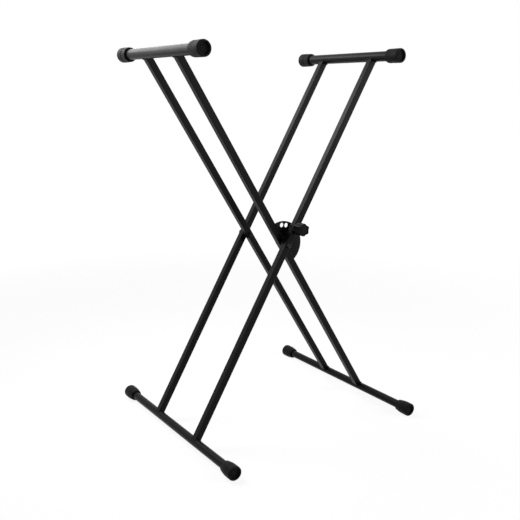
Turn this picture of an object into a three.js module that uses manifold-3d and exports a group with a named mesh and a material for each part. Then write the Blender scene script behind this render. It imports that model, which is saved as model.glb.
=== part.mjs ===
// Folding keyboard stand: two welded frames of square legs that cross in a double X.
// Each frame has a round arm at the top, a round foot tube at the bottom and rubber end caps.
// Millimetres, +Z up. The origin is on the floor under the middle of the open stand.
// The front, where the lock plate and the pull knob are, faces -Y.

import * as THREE from 'three';
import { mergeVertices } from 'three/addons/utils/BufferGeometryUtils.js';
import Module from 'manifold-3d';

const wasm = await Module();
wasm.setup();

// ---------------------------------------------------------------- driving dimensions

// The gap left between pieces that touch, are pressed together or are welded.
const FIT_GAP = 0.3;

// The two crossing frames. The inner one passes between the legs of the outer one.
const OPENING_ANGLE = 62.4;
const LEG_BELOW_PIVOT = 480;
const LEG_ABOVE_PIVOT = 475;
const INNER_LEG_SPACING = 133;
const LEG_SIDE_GAP = 6.3;

// Square steel tube of the legs.
const LEG_SIZE = 15;
const LEG_WALL = 1.2;
const LEG_CORNER_RADIUS = 1;

// Round steel tubes: the arms that carry the keyboard and the feet.
const ARM_DIAMETER = 22;
const ARM_WALL = 1.5;
const ARM_REACH = 353;
const FOOT_DIAMETER = 19;
const FOOT_WALL = 1.2;
const FOOT_REACH = 507;

// Rubber end caps. Their reach is counted in ARM_REACH and FOOT_REACH.
const ARM_CAP_WALL = 4.2;
const FOOT_CAP_WALL = 3.3;
const FOOT_CAP_FLARE = 2.6;
const FOOT_CAP_FLARE_LENGTH = 22;
const CAP_LENGTH = 38;
const CAP_RECESS_DEPTH = 5;
const CAP_END_WALL = 3;
const CAP_RIM_WIDTH = 4.4;
const ARM_CAP_LIP_RADIUS = 2.4;
const FOOT_CAP_LIP_RADIUS = 3.6;
const CAP_INNER_CHAMFER = 1;

// Half-moon lock plate, welded edge-on to the side of the front inner leg.
const LOCK_PLATE_RADIUS = 51.5;
const LOCK_PLATE_THICKNESS = 2.5;
const LOCK_PLATE_SETBACK = 1.6;
const LOCK_HOLE_TO_EDGE = 3.7;
const LOCK_HOLE_WEB = 2;
const LOCK_HOLE_COUNT = 4;
const LOCK_HOLES_ABOVE_PIN = 2;

// Spring plunger on the front outer leg: a pin through the leg, a barrel and a lobed knob.
const PIN_DIAMETER = 9.6;
const PIN_NOSE_CHAMFER = 1;
const PIN_STEM_DIAMETER = 6;
const PIN_CLEARANCE = 0.4;
const PIN_SHOULDER_HEIGHT = 2;
const PULL_TRAVEL = 7;
const SEAT_WASHER_THICKNESS = 1;
const SPRING_WIRE = 0.9;
const SPRING_TURNS = 5;
const SPRING_INNER_CLEARANCE = 1.35;
const SPRING_OUTER_CLEARANCE = 1.05;
const BARREL_WALL = 1.7;
const BARREL_LIP = 1.4;
const KNOB_DIAMETER = 28.5;
const KNOB_HEAD_LENGTH = 12;
const KNOB_STANDOFF = 4;
const KNOB_LOBES = 6;
const KNOB_LOBE_DEPTH = 2.2;
const KNOB_EDGE_RADIUS = 1.8;
const KNOB_TURN = 6;
const KNOB_STEM_COVER = 3;
const KNOB_CAP_DIAMETER = 18;
const KNOB_CAP_THICKNESS = 1.6;

// Pivot hardware, alike at both crossings: M6 bolt, sleeves in the legs, spacer between them.
const BOLT_DIAMETER = 6;
const BOLT_HEAD_WIDTH = 10;
const BOLT_HEAD_HEIGHT = 4;
const BOLT_END_BEYOND_NUT = 1;
const WASHER_DIAMETER = 12;
const WASHER_THICKNESS = 1.2;
const NUT_HEIGHT = 5.5;
const NUT_COLLAR_HEIGHT = 1.8;
const SLEEVE_CLEARANCE = 0.8;
const SPACER_DIAMETER = 14;

// Facets round a full turn.
const TUBE_FACETS = 32;
const BOLT_FACETS = 16;
const WIRE_FACETS = 6;
const STEPS_PER_TURN = 12;

// ---------------------------------------------------------------- worked-out places

const ARM_CAP_DIAMETER = ARM_DIAMETER + 2 * (FIT_GAP + ARM_CAP_WALL);
const FOOT_CAP_DIAMETER = FOOT_DIAMETER + 2 * (FIT_GAP + FOOT_CAP_WALL + FOOT_CAP_FLARE);
const HALF_OPENING = THREE.MathUtils.degToRad(OPENING_ANGLE / 2);
const PIVOT_HEIGHT = LEG_BELOW_PIVOT * Math.cos(HALF_OPENING) + FOOT_CAP_DIAMETER / 2;
const INNER_LEG_OFFSET = INNER_LEG_SPACING / 2;
const OUTER_LEG_OFFSET = INNER_LEG_OFFSET + LEG_SIZE + LEG_SIDE_GAP;
const OUTER_LEG_FACE = OUTER_LEG_OFFSET + LEG_SIZE / 2;
const BOLT_HOLE_DIAMETER = BOLT_DIAMETER + 2 * FIT_GAP;
const PIN_HOLE_DIAMETER = PIN_DIAMETER + 2 * FIT_GAP;
const PIN_HOLE_HEIGHT = LOCK_PLATE_RADIUS - LOCK_HOLE_TO_EDGE - PIN_HOLE_DIAMETER / 2;

// ---------------------------------------------------------------- materials

function finish(colour, roughness, metalness) {
  return new THREE.MeshStandardMaterial({ color: colour, roughness, metalness });
}

const powderCoat = finish(0x1b1b1c, 0.5, 0.25);
const rubber = finish(0x161617, 0.75, 0);
const knobPlastic = finish(0x0f0f10, 0.35, 0);
const blackSteel = finish(0x222224, 0.4, 0.7);
const nylon = finish(0x2a2a2b, 0.6, 0);
const brightSteel = finish(0xb4b6b8, 0.3, 0.9);

// ---------------------------------------------------------------- joining and cutting

// A closed solid from a geometry. Triangles with no area, as on a lathe's axis, are left out.
function solidOf(geometry) {
  const bare = geometry.clone();
  bare.deleteAttribute('normal');
  bare.deleteAttribute('uv');
  const merged = mergeVertices(bare, 1e-4);
  const corners = merged.index.array;
  const kept = [];
  for (let i = 0; i < corners.length; i += 3) {
    const [a, b, c] = [corners[i], corners[i + 1], corners[i + 2]];
    if (a !== b && b !== c && c !== a) kept.push(a, b, c);
  }
  return new wasm.Manifold(new wasm.Mesh({
    numProp: 3,
    vertProperties: new Float32Array(merged.attributes.position.array),
    triVerts: new Uint32Array(kept),
  }));
}

function geometryOf(solid) {
  const mesh = solid.getMesh();
  const geometry = new THREE.BufferGeometry();
  geometry.setAttribute('position', new THREE.BufferAttribute(mesh.vertProperties, 3));
  geometry.setIndex(new THREE.BufferAttribute(mesh.triVerts, 1));
  return geometry;
}

function cutFrom(geometry, cutters) {
  let solid = solidOf(geometry);
  for (const cutter of cutters) solid = solid.subtract(solidOf(cutter));
  return geometryOf(solid);
}

// ---------------------------------------------------------------- basic shapes

// A solid turned about the Y axis. Each point of the outline is [radius, place along Y].
function turned(outline, facets) {
  const points = outline.map(([radius, along]) => new THREE.Vector2(radius, along));
  return new THREE.LatheGeometry(points, facets);
}

// A round tube about the Y axis, from one place along it to another.
function ring(outerRadius, innerRadius, from, to, facets) {
  const outline = [
    [innerRadius, from],
    [outerRadius, from],
    [outerRadius, to],
    [innerRadius, to],
    [innerRadius, from],
  ];
  return turned(outline, facets);
}

// A drill along Y, at a height on the leg.
function drill(diameter, from, to, height, facets) {
  const cylinder = new THREE.CylinderGeometry(diameter / 2, diameter / 2, to - from, facets);
  cylinder.translate(0, (from + to) / 2, height);
  return cylinder;
}

// A hexagonal bar along Y, from one place to another.
function hexagon(acrossFlats, from, to) {
  const circumradius = acrossFlats / 2 / Math.cos(Math.PI / 6);
  const bar = new THREE.CylinderGeometry(circumradius, circumradius, to - from, 6);
  bar.translate(0, (from + to) / 2, 0);
  return bar;
}

function roundedSquare(size, cornerRadius) {
  const shape = new THREE.Shape();
  const inset = size / 2 - cornerRadius;
  const quarter = Math.PI / 2;
  shape.absarc(inset, inset, cornerRadius, 0, quarter);
  shape.absarc(-inset, inset, cornerRadius, quarter, 2 * quarter);
  shape.absarc(-inset, -inset, cornerRadius, 2 * quarter, 3 * quarter);
  shape.absarc(inset, -inset, cornerRadius, 3 * quarter, 4 * quarter);
  shape.closePath();
  return shape;
}

// ---------------------------------------------------------------- the scene graph

// Each frame is a group that is turned about the pivot line. In it, Z runs up the legs.
const stand = new THREE.Group();
const innerFrame = new THREE.Group();
const outerFrame = new THREE.Group();
const tiltOf = new Map([[innerFrame, -HALF_OPENING], [outerFrame, HALF_OPENING]]);
for (const [frame, tilt] of tiltOf) {
  frame.position.z = PIVOT_HEIGHT;
  frame.rotation.y = tilt;
  stand.add(frame);
}

function addPiece(frame, name, geometry, material) {
  const piece = new THREE.Mesh(geometry, material);
  piece.name = name;
  frame.add(piece);
  return piece;
}

// Front and rear ends of the stand. A piece made for +Y is turned end for end to face -Y.
const ENDS = [['front', -1], ['rear', 1]];

function faceEnd(piece, direction) {
  if (direction < 0) piece.rotation.x = Math.PI;
}

// ---------------------------------------------------------------- legs

// A square tube along Z. Its ends are coped to sit against the round arm and foot tube.
function legGeometry(offset, direction, hasPinHole) {
  const section = roundedSquare(LEG_SIZE, LEG_CORNER_RADIUS);
  const bore = roundedSquare(LEG_SIZE - 2 * LEG_WALL, Math.max(LEG_CORNER_RADIUS - LEG_WALL, 0.2));
  section.holes.push(new THREE.Path(bore.getPoints(1)));
  const length = LEG_BELOW_PIVOT + LEG_ABOVE_PIVOT;
  const tube = new THREE.ExtrudeGeometry(section, { depth: length, bevelEnabled: false, curveSegments: 1 });
  tube.translate(0, direction * offset, -LEG_BELOW_PIVOT);

  const near = direction * offset - LEG_SIZE;
  const far = direction * offset + LEG_SIZE;
  const cutters = [
    drill(ARM_DIAMETER + 2 * FIT_GAP, near, far, LEG_ABOVE_PIVOT, TUBE_FACETS),
    drill(FOOT_DIAMETER + 2 * FIT_GAP, near, far, -LEG_BELOW_PIVOT, TUBE_FACETS),
    drill(BOLT_HOLE_DIAMETER, near, far, 0, BOLT_FACETS),
  ];
  if (hasPinHole) cutters.push(drill(PIN_HOLE_DIAMETER, near, far, PIN_HOLE_HEIGHT, BOLT_FACETS));
  return cutFrom(tube, cutters);
}

for (const [end, direction] of ENDS) {
  addPiece(innerFrame, `inner_leg_${end}`, legGeometry(INNER_LEG_OFFSET, direction, false), powderCoat);
  const hasPinHole = end === 'front';
  addPiece(outerFrame, `outer_leg_${end}`, legGeometry(OUTER_LEG_OFFSET, direction, hasPinHole), powderCoat);
}

// ---------------------------------------------------------------- arms and foot tubes

// The tube stops inside the caps, short of their end wall.
function crossTube(diameter, wall, reach) {
  const half = reach / 2 - CAP_RECESS_DEPTH - CAP_END_WALL - FIT_GAP;
  return ring(diameter / 2, diameter / 2 - wall, -half, half, TUBE_FACETS);
}

const FRAMES = [['inner', innerFrame], ['outer', outerFrame]];
for (const [label, frame] of FRAMES) {
  const armTube = crossTube(ARM_DIAMETER, ARM_WALL, ARM_REACH);
  addPiece(frame, `${label}_arm`, armTube, powderCoat).position.z = LEG_ABOVE_PIVOT;
  const footTube = crossTube(FOOT_DIAMETER, FOOT_WALL, FOOT_REACH);
  addPiece(frame, `${label}_foot_tube`, footTube, powderCoat).position.z = -LEG_BELOW_PIVOT;
}

// ---------------------------------------------------------------- rubber end caps

// A thick sleeve closed by an end wall, with a cupped end and a round lip. Its outer end is at +Y.
// It may flare from a narrower mouth to its full diameter, which is measured across flats.
// A flat faces straight down.
function capGeometry(capDiameter, tubeDiameter, lipRadius, flare) {
  const radius = capDiameter / 2 / Math.cos(Math.PI / TUBE_FACETS);
  const socket = tubeDiameter / 2 + FIT_GAP;
  const floorOfCup = -CAP_RECESS_DEPTH;
  const endOfSocket = floorOfCup - CAP_END_WALL;
  const mouth = -CAP_LENGTH;
  const outline = [
    [0, endOfSocket],
    [socket, endOfSocket],
    [socket, mouth],
    [radius - flare - CAP_INNER_CHAMFER, mouth],
    [radius - flare, mouth + CAP_INNER_CHAMFER],
  ];
  const flareSteps = flare > 0 ? 4 : 0;
  for (let i = 1; i <= flareSteps; i++) {
    const turn = (Math.PI / 2) * (i / flareSteps);
    const run = FOOT_CAP_FLARE_LENGTH - CAP_INNER_CHAMFER;
    const along = mouth + CAP_INNER_CHAMFER + run * (i / flareSteps);
    outline.push([radius - flare * (1 - Math.sin(turn)), along]);
  }
  const lipSteps = 2;
  for (let i = 0; i <= lipSteps; i++) {
    const turn = (Math.PI / 2) * (i / lipSteps);
    const across = radius - lipRadius * (1 - Math.cos(turn));
    const along = -lipRadius * (1 - Math.sin(turn));
    outline.push([across, along]);
  }
  const cup = radius - CAP_RIM_WIDTH;
  outline.push([cup, 0], [cup - 1, floorOfCup], [0, floorOfCup]);
  return turned(outline, TUBE_FACETS);
}

for (const [label, frame] of FRAMES) {
  for (const [end, direction] of ENDS) {
    const armCap = capGeometry(ARM_CAP_DIAMETER, ARM_DIAMETER, ARM_CAP_LIP_RADIUS, 0);
    const footCap = capGeometry(
      FOOT_CAP_DIAMETER,
      FOOT_DIAMETER,
      FOOT_CAP_LIP_RADIUS,
      FOOT_CAP_FLARE,
    );
    const places = [
      ['arm', armCap, ARM_REACH, LEG_ABOVE_PIVOT],
      ['foot', footCap, FOOT_REACH, -LEG_BELOW_PIVOT],
    ];
    for (const [kind, geometry, reach, height] of places) {
      const halfFacet = Math.PI / TUBE_FACETS;
      geometry.rotateY(halfFacet);
      if (direction < 0) geometry.rotateX(Math.PI);
      geometry.rotateY(-tiltOf.get(frame));
      const cap = addPiece(frame, `${label}_${kind}_cap_${end}`, geometry, rubber);
      cap.position.set(0, direction * reach / 2, height);
    }
  }
}

// ---------------------------------------------------------------- lock plate

// A half disc about the pivot, butted against the side of the leg, with a row of round holes.
// The holes are as wide as the pin's hole in the leg and lie on its circle, one of them under it.
// Their angles are measured from the leg, towards +X.
function lockPlateGeometry() {
  const edge = LEG_SIZE / 2 + FIT_GAP;
  const edgeAngle = Math.acos(edge / LOCK_PLATE_RADIUS);
  const shape = new THREE.Shape();
  shape.absarc(0, 0, LOCK_PLATE_RADIUS, -edgeAngle, edgeAngle);
  shape.closePath();
  const pitch = 2 * Math.asin((PIN_HOLE_DIAMETER + LOCK_HOLE_WEB) / 2 / PIN_HOLE_HEIGHT);
  for (let i = 0; i < LOCK_HOLE_COUNT; i++) {
    const angle = 2 * HALF_OPENING + (i - LOCK_HOLES_ABOVE_PIN) * pitch;
    const across = PIN_HOLE_HEIGHT * Math.sin(angle);
    const up = PIN_HOLE_HEIGHT * Math.cos(angle);
    const hole = new THREE.Path();
    hole.absarc(across, up, PIN_HOLE_DIAMETER / 2, 0, 2 * Math.PI, true);
    shape.holes.push(hole);
  }
  const curveSegments = TUBE_FACETS / 3;
  const depth = LOCK_PLATE_THICKNESS;
  const plate = new THREE.ExtrudeGeometry(shape, { depth, bevelEnabled: false, curveSegments });
  plate.rotateX(Math.PI / 2);
  return plate;
}

const LOCK_PLATE_FACE = INNER_LEG_OFFSET + LEG_SIZE / 2 - LOCK_PLATE_SETBACK;
const lockPlate = addPiece(innerFrame, 'lock_plate', lockPlateGeometry(), powderCoat);
lockPlate.position.y = -LOCK_PLATE_FACE + LOCK_PLATE_THICKNESS;

// ---------------------------------------------------------------- spring plunger

// Everything here is turned about one axis through the front outer leg. Places along it are
// heights above the outer face of that leg, and the assembly is then turned to face -Y.
const plunger = new THREE.Group();
plunger.position.set(0, -OUTER_LEG_FACE, PIN_HOLE_HEIGHT);
plunger.rotation.x = Math.PI;
outerFrame.add(plunger);

// The spring is as long as its closed coils and the pull together.
const SPRING_LENGTH = PULL_TRAVEL + SPRING_WIRE * (SPRING_TURNS + 0.5);
const WASHER_SEAT = PIN_SHOULDER_HEIGHT + FIT_GAP;
const WASHER_SEAT_TOP = WASHER_SEAT + SEAT_WASHER_THICKNESS;
const SPRING_FROM = WASHER_SEAT_TOP + FIT_GAP;
const SPRING_TO = SPRING_FROM + SPRING_LENGTH;
const BARREL_TOP = SPRING_TO + FIT_GAP + BARREL_LIP;
const SPRING_RADIUS = PIN_STEM_DIAMETER / 2 + SPRING_INNER_CLEARANCE + SPRING_WIRE;
const BARREL_BORE_RADIUS = SPRING_RADIUS + SPRING_OUTER_CLEARANCE;
const BARREL_RADIUS = BARREL_BORE_RADIUS + BARREL_WALL;
const STEM_HOLE_RADIUS = PIN_STEM_DIAMETER / 2 + FIT_GAP;
const KNOB_BORE_END = BARREL_TOP + 2 * FIT_GAP;
const KNOB_FACE = KNOB_BORE_END + KNOB_HEAD_LENGTH;
const STEM_END = KNOB_FACE - KNOB_CAP_THICKNESS - KNOB_STEM_COVER;

const barrelOutline = [
  [BARREL_BORE_RADIUS, FIT_GAP],
  [BARREL_RADIUS, FIT_GAP],
  [BARREL_RADIUS, BARREL_TOP],
  [STEM_HOLE_RADIUS, BARREL_TOP],
  [STEM_HOLE_RADIUS, BARREL_TOP - BARREL_LIP],
  [BARREL_BORE_RADIUS, BARREL_TOP - BARREL_LIP],
  [BARREL_BORE_RADIUS, FIT_GAP],
];
addPiece(plunger, 'plunger_barrel', turned(barrelOutline, BOLT_FACETS), powderCoat);

// The pin: a nose that runs through the leg towards the lock plate, and a thinner stem to the
// knob. The nose stops short of the inner leg's face, so that the leg can swing past it.
const PIN_TIP = -(LEG_SIZE + LEG_SIDE_GAP) + PIN_CLEARANCE;
const pinOutline = [
  [0, PIN_TIP],
  [PIN_DIAMETER / 2 - PIN_NOSE_CHAMFER, PIN_TIP],
  [PIN_DIAMETER / 2, PIN_TIP + PIN_NOSE_CHAMFER],
  [PIN_DIAMETER / 2, PIN_SHOULDER_HEIGHT],
  [PIN_STEM_DIAMETER / 2, PIN_SHOULDER_HEIGHT],
  [PIN_STEM_DIAMETER / 2, STEM_END],
  [0, STEM_END],
];
addPiece(plunger, 'lock_pin', turned(pinOutline, BOLT_FACETS), brightSteel);

const seatRadius = BARREL_BORE_RADIUS - FIT_GAP;
const seatWasher = ring(seatRadius, STEM_HOLE_RADIUS, WASHER_SEAT, WASHER_SEAT_TOP, BOLT_FACETS);
addPiece(plunger, 'spring_seat_washer', seatWasher, brightSteel);

// An open coil round the stem, between the seat washer and the lip of the barrel.
class CoilPath extends THREE.Curve {
  constructor(radius, from, to, turns) {
    super();
    Object.assign(this, { radius, from, to, turns });
  }

  getPoint(t, target = new THREE.Vector3()) {
    const angle = 2 * Math.PI * this.turns * t;
    const along = THREE.MathUtils.lerp(this.from, this.to, t);
    return target.set(this.radius * Math.cos(angle), along, this.radius * Math.sin(angle));
  }
}

const wireRadius = SPRING_WIRE / 2;
const coilRadius = SPRING_RADIUS - wireRadius;
const coilPath = new CoilPath(coilRadius, SPRING_FROM + wireRadius, SPRING_TO - wireRadius, SPRING_TURNS);
const wireSection = new THREE.Shape();
wireSection.absarc(0, 0, wireRadius, 0, 2 * Math.PI);
const coil = new THREE.ExtrudeGeometry(wireSection, {
  steps: SPRING_TURNS * STEPS_PER_TURN,
  curveSegments: WIRE_FACETS / 2,
  extrudePath: coilPath,
});
addPiece(plunger, 'plunger_spring', coil, brightSteel);

// The knob: a lobed grip with rounded edges, bored from behind to pass over the barrel.
function knobGeometry() {
  const stepsPerLobe = 8;
  const steps = KNOB_LOBES * stepsPerLobe;
  const outline = [];
  for (let i = 0; i < steps; i++) {
    const angle = 2 * Math.PI * i / steps;
    const dip = KNOB_LOBE_DEPTH * (1 - Math.cos(KNOB_LOBES * angle)) / 2;
    const radius = KNOB_DIAMETER / 2 - dip;
    outline.push(new THREE.Vector2(radius * Math.cos(angle), radius * Math.sin(angle)));
  }
  const grip = new THREE.ExtrudeGeometry(new THREE.Shape(outline), {
    depth: KNOB_FACE - KNOB_STANDOFF - 2 * KNOB_EDGE_RADIUS,
    bevelThickness: KNOB_EDGE_RADIUS,
    bevelSize: KNOB_EDGE_RADIUS,
    bevelOffset: -KNOB_EDGE_RADIUS,
    bevelSegments: 2,
  });
  grip.translate(0, 0, KNOB_EDGE_RADIUS);
  grip.rotateZ(-THREE.MathUtils.degToRad(KNOB_TURN));
  grip.rotateX(-Math.PI / 2);
  grip.translate(0, KNOB_STANDOFF, 0);

  const beyond = 1;
  const boreDiameter = 2 * BARREL_RADIUS + 4 * FIT_GAP;
  const capSeatDiameter = KNOB_CAP_DIAMETER + 2 * FIT_GAP;
  const capSeat = KNOB_FACE - KNOB_CAP_THICKNESS;
  return cutFrom(grip, [
    drill(boreDiameter, KNOB_STANDOFF - beyond, KNOB_BORE_END, 0, TUBE_FACETS),
    drill(2 * STEM_HOLE_RADIUS, KNOB_BORE_END - beyond, STEM_END + FIT_GAP, 0, BOLT_FACETS),
    drill(capSeatDiameter, capSeat, KNOB_FACE + beyond, 0, TUBE_FACETS),
  ]);
}

addPiece(plunger, 'pull_knob', knobGeometry(), knobPlastic);

// A thin round cap in the face of the knob, set a little below its rim.
const CAP_DISC_BACK = KNOB_FACE - KNOB_CAP_THICKNESS + FIT_GAP;
const capDisc = [
  [0, CAP_DISC_BACK],
  [KNOB_CAP_DIAMETER / 2, CAP_DISC_BACK],
  [KNOB_CAP_DIAMETER / 2, KNOB_FACE - FIT_GAP],
  [0, KNOB_FACE - FIT_GAP / 2],
];
addPiece(plunger, 'knob_face_cap', turned(capDisc, TUBE_FACETS), knobPlastic);

// ---------------------------------------------------------------- pivot hardware

// Places along the bolt are distances from the middle of the stand, made for +Y.
const INNER_LEG_NEAR = INNER_LEG_OFFSET - LEG_SIZE / 2;
const INNER_LEG_FAR = INNER_LEG_OFFSET + LEG_SIZE / 2;
const OUTER_LEG_NEAR = OUTER_LEG_OFFSET - LEG_SIZE / 2;
const BOLT_HOLE_RADIUS = BOLT_HOLE_DIAMETER / 2;

function washerGeometry(from) {
  return ring(WASHER_DIAMETER / 2, BOLT_HOLE_RADIUS, from, from + WASHER_THICKNESS, BOLT_FACETS);
}

// A sleeve inside a leg, from wall to wall, that keeps the bolt from crushing it.
function sleeveGeometry(legNear) {
  const radius = LEG_SIZE / 2 - LEG_WALL - SLEEVE_CLEARANCE;
  const from = legNear + LEG_WALL + FIT_GAP;
  const to = legNear + LEG_SIZE - LEG_WALL - FIT_GAP;
  return ring(radius, BOLT_HOLE_RADIUS, from, to, BOLT_FACETS);
}

const HEAD_WASHER_FROM = OUTER_LEG_FACE + FIT_GAP;
const HEAD_FROM = HEAD_WASHER_FROM + WASHER_THICKNESS + FIT_GAP;
const NUT_WASHER_FROM = INNER_LEG_NEAR - FIT_GAP - WASHER_THICKNESS;
const NUT_TO = NUT_WASHER_FROM - FIT_GAP;
const NUT_FROM = NUT_TO - NUT_HEIGHT;
const BOLT_END = NUT_FROM - BOLT_END_BEYOND_NUT;

function boltGeometry() {
  const head = solidOf(hexagon(BOLT_HEAD_WIDTH, HEAD_FROM, HEAD_FROM + BOLT_HEAD_HEIGHT));
  const rootOfShank = HEAD_FROM + BOLT_HEAD_HEIGHT / 2;
  const endChamfer = 0.8;
  const shank = turned([
    [0, BOLT_END],
    [BOLT_DIAMETER / 2 - endChamfer, BOLT_END],
    [BOLT_DIAMETER / 2, BOLT_END + endChamfer],
    [BOLT_DIAMETER / 2, rootOfShank],
    [0, rootOfShank],
  ], BOLT_FACETS);
  return geometryOf(head.add(solidOf(shank)));
}

// The nut has a round collar for its locking ring, on the side away from the leg.
function nutGeometry() {
  const body = solidOf(hexagon(BOLT_HEAD_WIDTH, NUT_FROM + NUT_COLLAR_HEIGHT, NUT_TO));
  const collarRadius = BOLT_HEAD_WIDTH / 2 - 0.6;
  const collar = solidOf(drill(2 * collarRadius, NUT_FROM, NUT_TO - FIT_GAP, 0, BOLT_FACETS));
  const bore = solidOf(drill(BOLT_HOLE_DIAMETER, NUT_FROM - 1, NUT_TO + 1, 0, BOLT_FACETS));
  return geometryOf(body.add(collar).subtract(bore));
}

for (const [end, direction] of ENDS) {
  const spacer = ring(
    SPACER_DIAMETER / 2, BOLT_HOLE_RADIUS,
    INNER_LEG_FAR + FIT_GAP, OUTER_LEG_NEAR - FIT_GAP, BOLT_FACETS,
  );
  const hardware = [
    [innerFrame, `pivot_bolt_${end}`, boltGeometry(), blackSteel],
    [innerFrame, `pivot_head_washer_${end}`, washerGeometry(HEAD_WASHER_FROM), blackSteel],
    [outerFrame, `outer_leg_sleeve_${end}`, sleeveGeometry(OUTER_LEG_NEAR), brightSteel],
    [innerFrame, `pivot_spacer_${end}`, spacer, nylon],
    [innerFrame, `inner_leg_sleeve_${end}`, sleeveGeometry(INNER_LEG_NEAR), brightSteel],
    [innerFrame, `pivot_nut_washer_${end}`, washerGeometry(NUT_WASHER_FROM), blackSteel],
    [innerFrame, `pivot_lock_nut_${end}`, nutGeometry(), blackSteel],
  ];
  for (const [frame, name, geometry, material] of hardware) {
    faceEnd(addPiece(frame, name, geometry, material), direction);
  }
}

export default stand;
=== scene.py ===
import math

import bmesh
import bpy
from mathutils import Matrix, Vector


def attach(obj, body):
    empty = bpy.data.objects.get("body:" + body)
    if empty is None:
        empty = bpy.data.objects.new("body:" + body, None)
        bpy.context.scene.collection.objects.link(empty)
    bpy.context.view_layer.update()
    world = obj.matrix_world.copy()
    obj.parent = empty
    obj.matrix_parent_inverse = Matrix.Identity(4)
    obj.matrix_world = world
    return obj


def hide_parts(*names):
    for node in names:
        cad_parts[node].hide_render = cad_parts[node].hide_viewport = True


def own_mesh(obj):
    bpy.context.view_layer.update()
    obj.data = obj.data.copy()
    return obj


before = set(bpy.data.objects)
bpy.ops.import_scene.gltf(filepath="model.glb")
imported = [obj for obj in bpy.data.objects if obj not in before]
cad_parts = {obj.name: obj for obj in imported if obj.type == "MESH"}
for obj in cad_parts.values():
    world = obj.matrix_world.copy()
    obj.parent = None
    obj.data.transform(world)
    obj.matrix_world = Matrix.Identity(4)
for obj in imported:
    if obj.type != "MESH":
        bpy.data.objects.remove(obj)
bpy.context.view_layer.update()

# ---------------------------------------------------------------- viewpoint and studio
# The stand is seen from its front left corner, a little from above, on a white sweep. Soft panels
# behind and beside its left arm make the arm shine and leave the faces towards the eye dark. One
# over the middle lights the right arm's legs, and one at the front right fills the shade.

LOOK_DOWN = 15.8
LOOK_RIGHT = 36.23

show = bpy.context.scene.collection.objects.link
camera = bpy.data.objects.new("camera", bpy.data.cameras.new("camera"))
show(camera)
bpy.context.scene.camera = camera
camera.location = (-0.91021, -1.33181, 0.761225)
camera.rotation_euler = (math.radians(90 - LOOK_DOWN), 0, math.radians(-LOOK_RIGHT))
camera.data.lens = 48.68
camera.data.shift_x = -0.05165
camera.data.shift_y = 0.0546
bpy.context.scene.view_settings.view_transform = "Standard"


class Amount:
    """A number that varies over a surface or along a shape. Arithmetic on it adds Math nodes."""

    def __init__(self, nodes, socket):
        self.nodes = nodes
        self.socket = socket

    def maths(self, operation, first, second):
        return self.nodes.node("ShaderNodeMath", {"operation": operation}, {0: first, 1: second})

    def __add__(self, other):
        return self.maths("ADD", self, other)

    def __sub__(self, other):
        return self.maths("SUBTRACT", self, other)

    def __rsub__(self, other):
        return self.maths("SUBTRACT", other, self)

    def __mul__(self, other):
        return self.maths("MULTIPLY", self, other)

    def __truediv__(self, other):
        return self.maths("DIVIDE", self, other)

    __radd__ = __add__
    __rmul__ = __mul__


class Nodes:
    """The nodes of a finish, of the studio air or of a shape that is grown by a rule."""

    def __init__(self, tree):
        self.tree = tree
        self.tree.nodes.clear()

    def node(self, kind, settings, inputs, output=0):
        made = self.tree.nodes.new(kind)
        for name, value in settings.items():
            setattr(made, name, value)
        for name, value in inputs.items():
            if isinstance(value, (Amount, list)):
                for link in value if isinstance(value, list) else [value]:
                    self.tree.links.new(link.socket, made.inputs[name])
            else:
                made.inputs[name].default_value = value
        return Amount(self, made.outputs[output]) if made.outputs else None


def new_finish(name):
    material = bpy.data.materials.new(name)
    material.use_nodes = True
    return material, Nodes(material.node_tree)


def seen_directly(nodes):
    """1 for what the eye sees, also in a gloss or through glass, and 0 for light on the stand."""
    kinds = ("Is Camera Ray", "Is Glossy Ray", "Is Transmission Ray")
    eye, gloss, through = [nodes.node("ShaderNodeLightPath", {}, {}, kind) for kind in kinds]
    return nodes.node("ShaderNodeMath", {"operation": "MINIMUM"}, {0: eye + gloss + through, 1: 1.0})


AIR_LIGHT = 0.03
FLOOR_REACH = 9
FLOOR_SHADE = 0.4
FLOOR_BOUNCE = 0.25
# The floor glows less round the stand, where it shows the shade, than far off, where it is white.
FLOOR_GLOW = 0.9
FAR_GLOW = 1.02
GLOW_RISES = (0.6, 2.6)

world = bpy.data.worlds.new("studio_air")
bpy.context.scene.world = world
world.use_nodes = True
air = Nodes(world.node_tree)
seen = seen_directly(air)
strength = AIR_LIGHT + (1 - AIR_LIGHT) * seen
lit_air = air.node("ShaderNodeBackground", {}, {"Color": (1, 1, 1, 1), "Strength": strength})
air.node("ShaderNodeOutputWorld", {}, {"Surface": lit_air})

sweep, nodes = new_finish("white_sweep")
seen = seen_directly(nodes)
bounce = nodes.node("ShaderNodeBsdfDiffuse", {}, {"Color": (FLOOR_BOUNCE,) * 3 + (1,)})
shade = nodes.node("ShaderNodeBsdfDiffuse", {}, {"Color": (FLOOR_SHADE,) * 3 + (1,)})
place = nodes.node("ShaderNodeTexCoord", {}, {}, "Object")
far = nodes.node("ShaderNodeVectorMath", {"operation": "LENGTH"}, {0: place}, "Value")
far = nodes.node("ShaderNodeMapRange", {"interpolation_type": "SMOOTHSTEP"}, {
    0: far, 1: GLOW_RISES[0], 2: GLOW_RISES[1]})
glow = nodes.node("ShaderNodeEmission", {}, {
    "Color": (1, 1, 1, 1), "Strength": FLOOR_GLOW + (FAR_GLOW - FLOOR_GLOW) * far})
pale = nodes.node("ShaderNodeAddShader", {}, {0: shade, 1: glow})
floor_look = nodes.node("ShaderNodeMixShader", {}, {0: seen, 1: bounce, 2: pale})
nodes.node("ShaderNodeOutputMaterial", {}, {"Surface": floor_look})

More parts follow.
